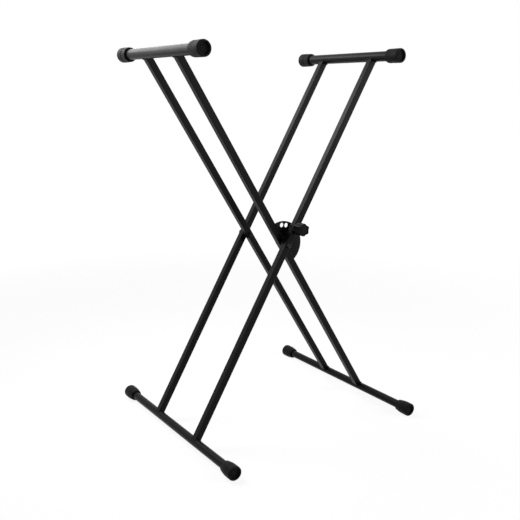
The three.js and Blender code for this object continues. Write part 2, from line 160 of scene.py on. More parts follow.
floor_mesh = bpy.data.meshes.new("floor")
corners = [(x * FLOOR_REACH, y * FLOOR_REACH, 0) for x, y in ((-1, -1), (1, -1), (1, 1), (-1, 1))]
floor_mesh.from_pydata(corners, [], [(0, 1, 2, 3)])
floor_mesh.materials.append(sweep)
floor = bpy.data.objects.new("floor", floor_mesh)
show(floor)

# Each panel: where it hangs, what it faces, its side in metres and its power in watts.
PANELS = {
    "rear_panel": ((-0.44, 0.72, 1.25), (-0.2, 0, 0.8), 0.55, 4.1),
    "middle_panel": ((-0.05, 0.45, 1.05), (0.25, 0, 0.72), 0.3, 0.76),
    "left_panel": ((-0.6, 0.45, 0.85), (-0.24, 0.1, 0.8), 0.3, 0.71),
    "right_panel": ((1.0, -1.3, 0.9), (0, 0, 0.6), 0.8, 5.2),
}
for name, (place, target, side, power) in PANELS.items():
    panel = bpy.data.lights.new(name, "AREA")
    panel.size = side
    panel.energy = power
    lamp = bpy.data.objects.new(name, panel)
    lamp.location = place
    lamp.rotation_euler = (Vector(target) - Vector(place)).to_track_quat("-Z", "Y").to_euler()
    show(lamp)

# ---------------------------------------------------------------- legs
# Four legs of 15 mm square steel tube, two to a frame, coped at both ends against the round tubes.
# Everything welded is powder coated in satin black, which leaves a very fine orange-peel grain.

MM = 0.001
PIVOT_HEIGHT = 426.275
HALF_OPENING = math.radians(31.2)
# The lean of each frame, and how far its legs' middles stand to the front and rear.
TILTS = {"inner": -HALF_OPENING, "outer": HALF_OPENING}
LEG_OFFSETS = {"inner": 66.5, "outer": 87.8}
LEG_ABOVE_PIVOT = 475
LEG_BELOW_PIVOT = 480
LEG_SIZE = 15
LEG_CORNER = 1.1
ARM_RADIUS = 11
FOOT_RADIUS = 9.5
# The hole for the lock pin in the front outer leg, and how far up the leg from the pivot it is.
PIN_HOLE_RADIUS = 5.1
PIN_HEIGHT = 42.7
HOLE_FACETS = 48
ENDS = {"front": -1, "rear": 1}


def in_frame(label, place=(0, 0, 0), turned_round=False):
    """Puts a shape in millimetres at its place in one of the two frames."""
    turn = Matrix.Rotation(math.pi, 4, "X") if turned_round else Matrix.Identity(4)
    frame_place = Matrix.Translation((0, 0, PIVOT_HEIGHT)) @ Matrix.Rotation(TILTS[label], 4, "Y")
    return Matrix.Scale(MM, 4) @ frame_place @ Matrix.Translation(place) @ turn


def mesh_of(shape, name):
    mesh = bpy.data.meshes.new(name)
    shape.to_mesh(mesh)
    shape.free()
    return mesh


def shape_of(mesh):
    shape = bmesh.new()
    shape.from_mesh(mesh)
    return shape


def plain_mesh(made):
    """The plain mesh that an object's curves, tree or cut give. The object itself goes."""
    graph = bpy.context.evaluated_depsgraph_get()
    mesh = bpy.data.meshes.new_from_object(made.evaluated_get(graph))
    bpy.data.objects.remove(made)
    return mesh


def piece(name, shape, place, body, slot, material, nodes):
    """Makes a shape one finished piece of the stand, in the place of the plain solids in nodes."""
    bmesh.ops.remove_doubles(shape, verts=shape.verts, dist=1e-4)
    bmesh.ops.recalc_face_normals(shape, faces=shape.faces)
    shape.transform(place)
    mesh = mesh_of(shape, name)
    mesh.shade_smooth()
    mesh.set_sharp_from_angle(angle=math.radians(25))
    mesh.materials.append(material)
    made = bpy.data.objects.new(name, mesh)
    show(made)
    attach(made, body)
    if nodes:
        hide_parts(*nodes)
    return made


def eased(outline):
    """Rounds the corners of an outline. Each point is (across, along, how far the corner is eased)."""
    hold = 0.15
    steps = 5
    points = []
    for i, (across, along, ease) in enumerate(outline):
        corner = Vector((across, along))
        if not ease:
            points.append(corner)
            continue
        back = (Vector(outline[i - 1][:2]) - corner).normalized()
        onward = (Vector(outline[(i + 1) % len(outline)][:2]) - corner).normalized()
        points.append(corner + back * (ease + hold))
        for step in range(steps + 1):
            t = step / steps
            points.append(corner + back * ease * (1 - t) ** 2 + onward * ease * t ** 2)
        points.append(corner + onward * (ease + hold))
    return points


def square(half, offset=0):
    """The eased outline of a leg, or of a weld round one."""
    corners = [(half, half), (-half, half), (-half, -half), (half, -half)]
    return [(x, offset + y) for x, y in eased([(x, y, LEG_CORNER) for x, y in corners])]


def leg_shape(offset):
    """A solid leg. Its coped ends are sunk a little into the two round tubes."""
    sunk = 0.3
    shape = bmesh.new()
    loops = []
    for reach, tube, way in ((LEG_BELOW_PIVOT, FOOT_RADIUS, -1), (LEG_ABOVE_PIVOT, ARM_RADIUS, 1)):
        loop = []
        for x, y in square(LEG_SIZE / 2, offset):
            cope = math.sqrt((tube - sunk) ** 2 - x * x)
            loop.append(shape.verts.new((x, y, way * (reach - cope))))
        shape.faces.new(loop)
        loops.append(loop)
    low, high = loops
    for i in range(len(low)):
        shape.faces.new((low[i - 1], low[i], high[i], high[i - 1]))
    return shape


def turned(outline, facets=72, reach=None):
    """Turns (radius, along) points about Y. An outline that starts on the axis also ends there."""
    shape = bmesh.new()
    loops = []
    for radius, along in outline:
        if radius < 1e-6:
            loops.append([shape.verts.new((0, along, 0))] * facets)
            continue
        loop = []
        for i in range(facets):
            angle = 2 * math.pi * i / facets
            r = reach(radius, along, angle) if reach else radius
            loop.append(shape.verts.new((r * math.cos(angle), along, r * math.sin(angle))))
        loops.append(loop)
    first = 0 if outline[0][0] > 1e-6 else 1
    for j in range(first, len(loops)):
        for i in range(facets):
            corners = (loops[j - 1][i - 1], loops[j - 1][i], loops[j][i], loops[j][i - 1])
            shape.faces.new(list(dict.fromkeys(corners)))
    return shape


def bored(shape, radius, start, end, height):
    """Cuts a round hole along Y through a shape."""
    bit = turned([(0, start), (radius, start), (radius, end), (0, end)], HOLE_FACETS)
    bit.transform(Matrix.Translation((0, 0, height)))
    solids = []
    for solid in (shape, bit):
        bmesh.ops.recalc_face_normals(solid, faces=solid.faces)
        solids.append(bpy.data.objects.new("cut", mesh_of(solid, "cut")))
        show(solids[-1])
    cut = solids[0].modifiers.new("hole", "BOOLEAN")
    cut.object = solids[1]
    cut.solver = "EXACT"
    left = shape_of(plain_mesh(solids[0]))
    bpy.data.objects.remove(solids[1])
    return left


def powder_coat_finish():
    material, nodes = new_finish("satin_black_powder_coat")
    place = nodes.node("ShaderNodeTexCoord", {}, {}, "Object")
    peel = nodes.node("ShaderNodeTexNoise", {}, {"Vector": place, "Scale": 620, "Detail": 2.0})
    speckle = nodes.node("ShaderNodeTexNoise", {}, {"Vector": place, "Scale": 1700, "Detail": 1.0})
    cloud = nodes.node("ShaderNodeTexNoise", {}, {"Vector": place, "Scale": 22, "Detail": 3.0})
    depth = 0.75 * peel + 0.25 * speckle
    bump = nodes.node("ShaderNodeBump", {}, {"Strength": 0.3, "Distance": 0.00012, "Height": depth})
    mottle = nodes.node("ShaderNodeMix", {"data_type": "RGBA"}, {
        0: 0.6 * cloud + 0.4 * speckle, 6: (0.014, 0.014, 0.0145, 1), 7: (0.024, 0.024, 0.0245, 1)}, 2)
    satin = nodes.node("ShaderNodeBsdfPrincipled", {}, {
        "Base Color": mottle, "Roughness": 0.27 + 0.12 * cloud, "Normal": bump, "Specular IOR Level": 0.08})
    nodes.node("ShaderNodeOutputMaterial", {}, {"Surface": satin})
    return material


powder_coat = powder_coat_finish()
for label, offset in LEG_OFFSETS.items():
    for end, way in ENDS.items():
        leg = leg_shape(way * offset)
        if (label, end) == ("outer", "front"):
            leg = bored(leg, PIN_HOLE_RADIUS, -offset - LEG_SIZE, LEG_SIZE - offset, PIN_HEIGHT)
        piece(f"{label}_{end}_square_leg", leg, in_frame(label), f"{label}_frame",
              "powder_coat", powder_coat, [f"{label}_leg_{end}"])

# ---------------------------------------------------------------- arms and foot tubes
# Each frame has a round 22 mm tube on top, which carries the keyboard, and a round 19 mm tube
# for a foot. They are cut square, welded across the legs and coated with them.

ARM_REACH = 353
FOOT_REACH = 507
# How deep a tube's end stays inside the reach, under the floor of its end cap, and its gap to that.
CAP_FLOOR = 8
CAP_GAP = 0.3
# Each kind of tube: its radius, wall and reach, and how high over the pivot it lies.
CROSS_TUBES = {
    "arm": (ARM_RADIUS, 1.5, ARM_REACH, LEG_ABOVE_PIVOT),
    "foot_tube": (FOOT_RADIUS, 1.2, FOOT_REACH, -LEG_BELOW_PIVOT),
}


def ring(outer, inner, start, end, ease):
    """A tube or washer along Y, with the outer edges of its ends eased."""
    corners = [(inner, start, 0), (outer, start, ease), (outer, end, ease), (inner, end, 0)]
    return turned(eased(corners))


for label in TILTS:
    for kind, (radius, wall, reach, height) in CROSS_TUBES.items():
        half = reach / 2 - CAP_FLOOR - CAP_GAP
        piece(f"{label}_round_{kind}", ring(radius, radius - wall, -half, half, 0.4),
              in_frame(label, (0, 0, height)), f"{label}_frame", "powder_coat", powder_coat,
              [f"{label}_{kind}"])

# ---------------------------------------------------------------- lock plate
# A half-moon of 2.5 mm plate, welded by its straight edge to the side of the front inner leg.
# Four punched holes on one circle take the pin and give the four heights.

PLATE_RADIUS = 51.5
PLATE_THICKNESS = 2.5
# How far the plate's outer face is from the middle plane of the stand.
PLATE_FACE = 72.4
PLATE_HOLES = 4
HOLES_ABOVE_PIN = 2
# The steel left between two holes.
HOLE_WEB = 2
HOLE_PITCH = 2 * math.asin((2 * PIN_HOLE_RADIUS + HOLE_WEB) / 2 / PIN_HEIGHT)
PLATE_EDGE = LEG_SIZE / 2 - 0.3


def round_outline(radius, angles, middle=(0, 0)):
    """Points on a circle, at some angles."""
    return [(middle[0] + radius * math.cos(a), middle[1] + radius * math.sin(a)) for a in angles]


def lock_plate_shape():
    """The plate with its holes, drawn flat and turned upright. Its sheared edges are broken."""
    broken_edge = 0.25
    drawing = bpy.data.curves.new("lock_plate", "CURVE")
    drawing.dimensions = "2D"
    drawing.fill_mode = "BOTH"
    drawing.extrude = PLATE_THICKNESS / 2 - broken_edge
    drawing.bevel_depth = broken_edge
    drawing.bevel_resolution = 1
    drawing.offset = -broken_edge
    corner = math.acos(PLATE_EDGE / PLATE_RADIUS)
    steps = 96
    rim = [corner * (2 * i / steps - 1) for i in range(steps + 1)]
    outlines = [round_outline(PLATE_RADIUS, rim)]
    turns = [2 * math.pi * i / HOLE_FACETS for i in range(HOLE_FACETS)]
    for hole in range(PLATE_HOLES):
        angle = math.pi / 2 - 2 * HALF_OPENING - (hole - HOLES_ABOVE_PIN) * HOLE_PITCH
        middle = Vector((PIN_HEIGHT * math.cos(angle), PIN_HEIGHT * math.sin(angle)))
        outlines.append(round_outline(PIN_HOLE_RADIUS, turns, middle))
    for outline in outlines:
        line = drawing.splines.new("POLY")
        line.points.add(len(outline) - 1)
        for point, (x, y) in zip(line.points, outline):
            point.co = (x, y, 0, 1)
        line.use_cyclic_u = True
    drawn = bpy.data.objects.new("drawing", drawing)
    show(drawn)
    shape = shape_of(plain_mesh(drawn))
    shape.transform(Matrix.Rotation(math.pi / 2, 4, "X"))
    return shape


plate_place = in_frame("inner", (0, PLATE_THICKNESS / 2 - PLATE_FACE, 0))
piece("half_moon_lock_plate", lock_plate_shape(), plate_place, "inner_frame", "powder_coat",
      powder_coat, ["lock_plate"])

# ---------------------------------------------------------------- welds
# A fillet weld runs round each leg end, down both sides of the lock plate's straight edge, and
# above and below the plunger's barrel. The coat covers the beads, and their ripples show through.

# How far the outer legs' outer faces are from the middle plane of the stand.
LEG_FACE = 95.3
BARREL_RADIUS = 8
BEAD_RADIUS = 1.7
BEAD_RIPPLE = 1.5
BEAD_UNEVENNESS = 0.16
# How far the middle of a bead stands off the faces that it joins.
BEAD_LIFT = 0.1


def grown(start, tree, sizes):
    """The plain mesh that a shape tree makes from a start mesh, with its named sizes set."""
    seed = bpy.data.objects.new("seed", start)
    show(seed)
    modifier = seed.modifiers.new("tree", "NODES")
    modifier.node_group = tree
    for entry in tree.interface.items_tree:
        if entry.in_out == "INPUT" and entry.name in sizes:
            modifier[entry.identifier] = sizes[entry.name]
    return plain_mesh(seed)


def shape_tree(name, sizes):
    """An empty shape tree with its group sockets. Returns its nodes and one Amount for each size."""
    tree = bpy.data.node_groups.new(name, "GeometryNodeTree")
    nodes = Nodes(tree)
    tree.interface.new_socket("Shape", in_out="OUTPUT", socket_type="NodeSocketGeometry")
    for entry, kind in sizes.items():
        tree.interface.new_socket(entry, in_out="INPUT", socket_type=f"NodeSocket{kind}")
    inlet = tree.nodes.new("NodeGroupInput")
    return nodes, {entry: Amount(nodes, inlet.outputs[entry]) for entry in sizes}


def weld_bead_tree():
    nodes, size = shape_tree("weld_bead", {
        "Path": "Geometry", "Bead": "Float", "Ripple": "Float", "Unevenness": "Float", "Coat": "Material"})
    path = nodes.node("GeometryNodeMeshToCurve", {}, {"Mesh": size["Path"]})
    path = nodes.node("GeometryNodeResampleCurve", {"mode": "LENGTH"}, {"Curve": path, "Length": 0.3})
    along = nodes.node("GeometryNodeSplineParameter", {}, {}, "Length")
    wave = nodes.node("ShaderNodeMath", {"operation": "SINE"}, {0: along / size["Ripple"] * math.pi})
    crest = nodes.node("ShaderNodeMath", {"operation": "ABSOLUTE"}, {0: wave})
    lump = nodes.node("ShaderNodeTexNoise", {}, {"Scale": 0.35, "Detail": 1.0})
    # The ripples and lumps swell the bead and thin it, about its own radius.
    swell = size["Bead"] * (1 + size["Unevenness"] * (crest + lump * 2 - 1.7))
    section = nodes.node("GeometryNodeCurvePrimitiveCircle", {"mode": "RADIUS"}, {
        "Resolution": 12, "Radius": 1})
    bead = nodes.node("GeometryNodeCurveToMesh", {}, {
        "Curve": path, "Profile Curve": section, "Scale": swell, "Fill Caps": True})
    bead = nodes.node("GeometryNodeRealizeInstances", {}, {"Geometry": bead})
    bead = nodes.node("GeometryNodeSetMaterial", {}, {"Geometry": bead, "Material": size["Coat"]})
    nodes.node("NodeGroupOutput", {}, {"Shape": bead})
    return nodes.tree


def joint_line(offset, tube, reach, way):
    """The line round a leg where it meets a round tube."""
    rise = 0.2
    line = []
    for x, y in square(LEG_SIZE / 2 + BEAD_LIFT, offset):
        line.append((x, y, way * (reach - math.sqrt((tube + rise) ** 2 - x * x))))
    return line


def weld_lines(label):
    """The closed lines round a frame's legs, and the open ones at the plate or the barrel."""
    closed = []
    for way in ENDS.values():
        closed.append(joint_line(way * LEG_OFFSETS[label], ARM_RADIUS, LEG_ABOVE_PIVOT, 1))
        closed.append(joint_line(way * LEG_OFFSETS[label], FOOT_RADIUS, LEG_BELOW_PIVOT, -1))
    if label == "inner":
        stops_short = 3
        sunk = 0.2
        run = math.sqrt(PLATE_RADIUS ** 2 - (LEG_SIZE / 2) ** 2) - stops_short
        sides = [sunk - PLATE_FACE, PLATE_THICKNESS - PLATE_FACE - sunk]
        opened = [[(LEG_SIZE / 2 + BEAD_LIFT, y, run * z) for z in (-1, 1)] for y in sides]
    else:
        spread = [math.radians(a) for a in range(-52, 53, 4)]
        r = BARREL_RADIUS + BEAD_LIFT
        opened = []
        for up in (-1, 1):
            arc = [(r * math.sin(a), PIN_HEIGHT + up * r * math.cos(a)) for a in spread]
            opened.append([(x, -LEG_FACE - BEAD_LIFT, z) for x, z in arc])
    return closed, opened


weld_bead = weld_bead_tree()
for label in TILTS:
    closed, opened = weld_lines(label)
    points = []
    edges = []
    for line in closed + opened:
        first = len(points)
        points += line
        edges += [(first + i, first + i + 1) for i in range(len(line) - 1)]
        if line in closed:
            edges.append((len(points) - 1, first))
    paths = bpy.data.meshes.new("paths")
    paths.from_pydata(points, edges, [])
    beads = shape_of(grown(paths, weld_bead, {
        "Bead": BEAD_RADIUS, "Ripple": BEAD_RIPPLE, "Unevenness": BEAD_UNEVENNESS, "Coat": powder_coat}))
    piece(f"{label}_frame_welds", beads, in_frame(label), f"{label}_frame", "powder_coat",
          powder_coat, [])

# ---------------------------------------------------------------- rubber end caps
# A moulded rubber cap is pressed on each end of the round tubes, cupped inside a thick round lip.
# The arm caps are ribbed on their inner half, and the foot caps flare smoothly to a wide end.

CAP_LENGTH = 38
CAP_FIT = 0.15
FLARE_LENGTH = 22
# An arm cap's ribs: their radius, how far their middles lie inside the cap's, and their two ends.
CAP_RIBS = 24
RIB_RADIUS = 1.15
RIB_SUNK = 1.35
RIBS_FROM = 1.6 - CAP_LENGTH
RIBS_TO = -18.6
# The cup in a cap's face: the width of the rim round it, and its depth.
CUP_RIM = 5.4
CUP_DEPTH = 5


def flared_side(radius, flare):
    """The side of a foot cap, from its mouth to where its flare has run out."""
    steps = 8
    run = FLARE_LENGTH - 1
    side = [(radius - flare, -CAP_LENGTH, 0.7)]
    for i in range(steps + 1):
        turn = math.pi / 2 * i / steps
        side.append((radius - flare * (1 - math.sin(turn)), 1 - CAP_LENGTH + run * i / steps, 0))
    return side


def stepped_side(radius):
    """The side of an arm cap, with a step up from its sleeve to its plain end."""
    sleeve = radius - 0.75
    return [(sleeve, -CAP_LENGTH, 1.4), (sleeve, -19.5, 0.5), (radius, -18, 0.5)]


def cap_shape(radius, tube, flare):
    """One cap, with its closed end at 0 and its mouth at -CAP_LENGTH along Y."""
    side = flared_side(radius, flare) if flare else stepped_side(radius)
    lip = 3.4 if flare else 2.5
    cup = radius - CUP_RIM
    outline = eased([
        (0, -CAP_FLOOR, 0),
        (tube + CAP_FIT, -CAP_FLOOR, 0),
        (tube + CAP_FIT, -CAP_LENGTH, 0.4),
        *side,
        (radius, 0, lip),
        (cup + 1, 0, 1.6),
        (cup, -CUP_DEPTH, 0.8),
        (0.66 * cup, -CUP_DEPTH, 0.3),
        (0.62 * cup, 0.7 - CUP_DEPTH, 0.3),
        (0.54 * cup, 0.7 - CUP_DEPTH, 0.3),
        (0.50 * cup, -CUP_DEPTH, 0.3),
        (0.17 * cup, -CUP_DEPTH, 0.4),
        (0, -CUP_DEPTH - 1, 0),
    ])
    return turned(outline)


def ribbed_sleeve_tree():
    nodes, size = shape_tree("ribbed_sleeve", {
        "Cap": "Geometry", "Ribs": "Int", "Rib radius": "Float", "Sleeve radius": "Float",
        "Start": "Float", "End": "Float", "Rubber": "Material"})
    ends = [nodes.node("ShaderNodeCombineXYZ", {}, {"X": size["Sleeve radius"], "Y": size[e]})
            for e in ("Start", "End")]
    line = nodes.node("GeometryNodeCurvePrimitiveLine", {"mode": "POINTS"}, {
        "Start": ends[0], "End": ends[1]})
    line = nodes.node("GeometryNodeResampleCurve", {"mode": "COUNT"}, {"Curve": line, "Count": 13})
    # A rib is full in the middle and runs out round at both ends.
    middle = nodes.node("GeometryNodeSplineParameter", {}, {}, "Factor") * 2 - 1
    taper = middle * middle * middle * middle
    full = nodes.node("ShaderNodeMath", {"operation": "SQRT"}, {0: 1.0004 - taper * taper})
    section = nodes.node("GeometryNodeCurvePrimitiveCircle", {"mode": "RADIUS"}, {
        "Resolution": 10, "Radius": 1})
    rib = nodes.node("GeometryNodeCurveToMesh", {}, {
        "Curve": line, "Profile Curve": section, "Scale": full * size["Rib radius"], "Fill Caps": True})
    turns = nodes.node("GeometryNodeMeshLine", {"mode": "OFFSET"}, {
        "Count": size["Ribs"], "Offset": (0, 0, 0)})
    angle = nodes.node("GeometryNodeInputIndex", {}, {}) / size["Ribs"] * (2 * math.pi)
    turn = nodes.node("ShaderNodeCombineXYZ", {}, {"Y": angle})
    ribs = nodes.node("GeometryNodeInstanceOnPoints", {}, {
        "Points": turns, "Instance": rib, "Rotation": turn})
    ribs = nodes.node("GeometryNodeRealizeInstances", {}, {"Geometry": ribs})
    both = nodes.node("GeometryNodeJoinGeometry", {}, {0: [ribs, size["Cap"]]})
    both = nodes.node("GeometryNodeSetMaterial", {}, {"Geometry": both, "Material": size["Rubber"]})
    nodes.node("NodeGroupOutput", {}, {"Shape": both})
    return nodes.tree


def rubber_finish():
    material, nodes = new_finish("moulded_black_rubber")
    place = nodes.node("ShaderNodeTexCoord", {}, {}, "Object")
    grain = nodes.node("ShaderNodeTexNoise", {}, {"Vector": place, "Scale": 1500, "Detail": 3.0})
    bloom = nodes.node("ShaderNodeTexNoise", {}, {"Vector": place, "Scale": 60, "Detail": 4.0})
    bump = nodes.node("ShaderNodeBump", {}, {"Strength": 0.4, "Distance": 0.0001, "Height": grain})
    shade = nodes.node("ShaderNodeMix", {"data_type": "RGBA"}, {
        0: 0.7 * bloom + 0.3 * grain, 6: (0.012, 0.012, 0.0124, 1), 7: (0.024, 0.024, 0.024, 1)}, 2)
    matt = nodes.node("ShaderNodeBsdfPrincipled", {}, {
        "Base Color": shade, "Roughness": 0.42 + 0.2 * bloom, "Normal": bump, "Specular IOR Level": 0.08})
    nodes.node("ShaderNodeOutputMaterial", {}, {"Surface": matt})
    return material


rubber = rubber_finish()
ribbed_sleeve = ribbed_sleeve_tree()
# Each kind of cap: its radius, its tube's radius, its flare, the tube's reach and its height.
CAPS = {
    "arm": (15.5, ARM_RADIUS, 0, ARM_REACH, LEG_ABOVE_PIVOT),
    "foot": (15.7, FOOT_RADIUS, 2.6, FOOT_REACH, -LEG_BELOW_PIVOT),
}
for label in TILTS:
    for kind, (radius, tube, flare, reach, height) in CAPS.items():
        for end, way in ENDS.items():
            cap = cap_shape(radius, tube, flare)
            if not flare:
                cap = shape_of(grown(mesh_of(cap, "cap"), ribbed_sleeve, {
                    "Ribs": CAP_RIBS, "Rib radius": RIB_RADIUS, "Sleeve radius": radius - RIB_SUNK,
                    "Start": RIBS_FROM, "End": RIBS_TO, "Rubber": rubber}))
            piece(f"{label}_{kind}_rubber_cap_{end}", cap,
                  in_frame(label, (0, way * reach / 2, height), way < 0), f"{label}_frame", "rubber",
                  rubber, [f"{label}_{kind}_cap_{end}"])

# ---------------------------------------------------------------- spring plunger
# A barrel on the front outer leg holds a coil spring round the stem of the lock pin. The spring
# presses on a washer against the pin's shoulder and drives the pin through the leg. The pin's
# nose sits in a hole of the lock plate.

SPRING_FROM = 3.6
SPRING_TO = 15.55
SPRING_TURNS = 5.0
SPRING_RADIUS = 4.8
WIRE_RADIUS = 0.45
BARREL_TOP = 17.25
BARREL_WALL = 1.7
BARREL_LID = 1.4
SEAT_RADIUS = 6
SEAT_FROM = 2.3
SEAT_TO = 3.3
STEM_RADIUS = 3
STEM_GAP = 0.3
STEM_END = 25.25
PIN_RADIUS = 4.8
PIN_SHOULDER = 2
PIN_TIP = -20.9
NOSE_TIP = -26.2
# Lengths along the pin are counted outwards from here, the front leg's outer face.
pull_place = in_frame("outer", (0, -LEG_FACE, PIN_HEIGHT), turned_round=True)


def zinc_finish():
    """Bright zinc, finely scratched along Y, the way that the wire and the tubes are drawn."""
    material, nodes = new_finish("bright_zinc_plating")
    place = nodes.node("ShaderNodeTexCoord", {}, {}, "Object")
    drawn_out = nodes.node("ShaderNodeMapping", {"vector_type": "POINT"}, {
        "Vector": place, "Scale": (1, 0.06, 1)})
    scratch = nodes.node("ShaderNodeTexNoise", {}, {"Vector": drawn_out, "Scale": 2600, "Detail": 3.0})
    cloud = nodes.node("ShaderNodeTexNoise", {}, {"Vector": place, "Scale": 180, "Detail": 3.0})
    bump = nodes.node("ShaderNodeBump", {}, {"Strength": 0.2, "Distance": 0.00005, "Height": scratch})
    tint = nodes.node("ShaderNodeMix", {"data_type": "RGBA"}, {
        0: cloud, 6: (0.46, 0.47, 0.49, 1), 7: (0.62, 0.62, 0.60, 1)}, 2)
    plated = nodes.node("ShaderNodeBsdfPrincipled", {}, {
        "Base Color": tint, "Metallic": 1.0, "Roughness": 0.22 + 0.18 * scratch, "Normal": bump})
    nodes.node("ShaderNodeOutputMaterial", {}, {"Surface": plated})
    return material


def black_oxide_finish():
    material, nodes = new_finish("black_oxide_steel")
    place = nodes.node("ShaderNodeTexCoord", {}, {}, "Object")
    grain = nodes.node("ShaderNodeTexNoise", {}, {"Vector": place, "Scale": 1300, "Detail": 3.0})
    cloud = nodes.node("ShaderNodeTexNoise", {}, {"Vector": place, "Scale": 260, "Detail": 4.0})
    bump = nodes.node("ShaderNodeBump", {}, {"Strength": 0.3, "Distance": 0.00006, "Height": grain})
    shade = nodes.node("ShaderNodeMix", {"data_type": "RGBA"}, {
        0: cloud, 6: (0.008, 0.008, 0.009, 1), 7: (0.026, 0.026, 0.028, 1)}, 2)
    dark = nodes.node("ShaderNodeBsdfPrincipled", {}, {
        "Base Color": shade, "Metallic": 0.85, "Roughness": 0.30 + 0.2 * cloud, "Normal": bump})
    nodes.node("ShaderNodeOutputMaterial", {}, {"Surface": dark})
    return material


zinc = zinc_finish()
black_oxide = black_oxide_finish()
barrel = turned(eased([
    (BARREL_RADIUS - BARREL_WALL, 0, 0),
    (BARREL_RADIUS, 0, 0),
    (BARREL_RADIUS, BARREL_TOP, 0.5),
    (STEM_RADIUS + STEM_GAP, BARREL_TOP, 0.2),
    (STEM_RADIUS + STEM_GAP, BARREL_TOP - BARREL_LID, 0),
    (BARREL_RADIUS - BARREL_WALL, BARREL_TOP - BARREL_LID, 0),
]))
piece("welded_plunger_barrel", barrel, pull_place, "outer_frame", "powder_coat", powder_coat,
      ["plunger_barrel"])
pin = turned(eased([
    (0, PIN_TIP, 0),
    (PIN_RADIUS, PIN_TIP, 0),
    (PIN_RADIUS, PIN_SHOULDER, 0.2),
    (STEM_RADIUS, PIN_SHOULDER, 0.1),
    (STEM_RADIUS, STEM_END, 0.3),
    (0, STEM_END, 0),
]), HOLE_FACETS)
piece("turned_lock_pin", pin, pull_place, "pull_pin", "black_steel", black_oxide, ["lock_pin"])
nose = turned(eased([
    (0, PIN_TIP, 0),
    (PIN_RADIUS, PIN_TIP, 0),
    (PIN_RADIUS, NOSE_TIP + 1, 0.3),
    (PIN_RADIUS - 1, NOSE_TIP, 0.3),
    (0, NOSE_TIP, 0),
]), HOLE_FACETS)
nose = piece("lock_pin_nose", nose, pull_place, "pull_pin", "black_steel", black_oxide, [])
nose_root = pull_place @ Vector((0, PIN_TIP, 0))
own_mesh(nose)
seat_washer = ring(SEAT_RADIUS, STEM_RADIUS + STEM_GAP, SEAT_FROM, SEAT_TO, 0.2)
piece("pressed_seat_washer", seat_washer, pull_place, "pull_pin", "black_steel", black_oxide,
      ["spring_seat_washer"])


def coil_tree():
    nodes, size = shape_tree("coil", {
        "Start": "Geometry", "Turns": "Float", "Coil radius": "Float", "Coil length": "Float",
        "Wire radius": "Float", "Steel": "Material"})
    path = nodes.node("GeometryNodeCurveSpiral", {}, {
        "Resolution": 36, "Rotations": size["Turns"], "Start Radius": size["Coil radius"],
        "End Radius": size["Coil radius"], "Height": size["Coil length"]})
    section = nodes.node("GeometryNodeCurvePrimitiveCircle", {"mode": "RADIUS"}, {
        "Resolution": 10, "Radius": size["Wire radius"]})
    wire = nodes.node("GeometryNodeCurveToMesh", {}, {
        "Curve": path, "Profile Curve": section, "Fill Caps": True})
    wire = nodes.node("GeometryNodeRealizeInstances", {}, {"Geometry": wire})
    wire = nodes.node("GeometryNodeSetMaterial", {}, {"Geometry": wire, "Material": size["Steel"]})
    nodes.node("NodeGroupOutput", {}, {"Shape": wire})
    return nodes.tree


coil = shape_of(grown(bpy.data.meshes.new("start"), coil_tree(), {
    "Turns": SPRING_TURNS, "Coil radius": SPRING_RADIUS, "Wire radius": WIRE_RADIUS,
    "Coil length": SPRING_TO - SPRING_FROM - 2 * WIRE_RADIUS, "Steel": zinc}))
upright = Matrix.Rotation(-math.pi / 2, 4, "X")
coil.transform(Matrix.Translation((0, SPRING_FROM + WIRE_RADIUS, 0)) @ upright)
spring = piece("coil_spring", coil, pull_place, "outer_frame", "steel", zinc, ["plunger_spring"])
fixed_end = pull_place @ Vector((0, SPRING_TO, 0))
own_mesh(spring)

# ---------------------------------------------------------------- pull knob
# A moulded six-lobed knob, pressed on the stem of the pin. It is bored from behind, so that it
# hides the barrel, and a plain round cap closes its face.

KNOB_RADIUS = 14.25
KNOB_BACK = 4
KNOB_FACE = 29.85
KNOB_LOBES = 6
KNOB_TURN = math.radians(6)
KNOB_EASE = 1.8
# The bore from behind clears the barrel, and the socket past its floor grips the stem.
KNOB_BORE = 8.6
BORE_FLOOR = BARREL_TOP + 0.6
SOCKET_RADIUS = STEM_RADIUS + 0.05
SOCKET_END = STEM_END + 0.3
# The lobes start at one radius and have their full depth from another.
LOBES_FROM = KNOB_BORE + 0.4
LOBES_FULL = 12.2
LOBE_DEPTH = 2.2
KNOB_CAP_RADIUS = 9
KNOB_CAP_RECESS = 1.6


def lobed(radius, along, angle):
    """Draws a round shape in between its lobes. It stays round near its axis."""
    dip = LOBE_DEPTH * (1 - math.cos(KNOB_LOBES * (angle - KNOB_TURN))) / 2
    share = min(max((radius - LOBES_FROM) / (LOBES_FULL - LOBES_FROM), 0), 1)
    return radius - dip * share


def knob_finish(name, low, high):
    material, nodes = new_finish(name)
    place = nodes.node("ShaderNodeTexCoord", {}, {}, "Object")
    grain = nodes.node("ShaderNodeTexNoise", {}, {"Vector": place, "Scale": 2200, "Detail": 2.0})
    flow = nodes.node("ShaderNodeTexNoise", {}, {"Vector": place, "Scale": 90, "Detail": 3.0})
    bump = nodes.node("ShaderNodeBump", {}, {"Strength": 0.2, "Distance": 0.00005, "Height": grain})
    shade = nodes.node("ShaderNodeMix", {"data_type": "RGBA"}, {
        0: flow, 6: (low, low, 1.05 * low, 1), 7: (high, high, 1.03 * high, 1)}, 2)
    gloss = nodes.node("ShaderNodeBsdfPrincipled", {}, {
        "Base Color": shade, "Roughness": 0.3 + 0.14 * flow, "Normal": bump, "Specular IOR Level": 0.08})
    nodes.node("ShaderNodeOutputMaterial", {}, {"Surface": gloss})
    return material


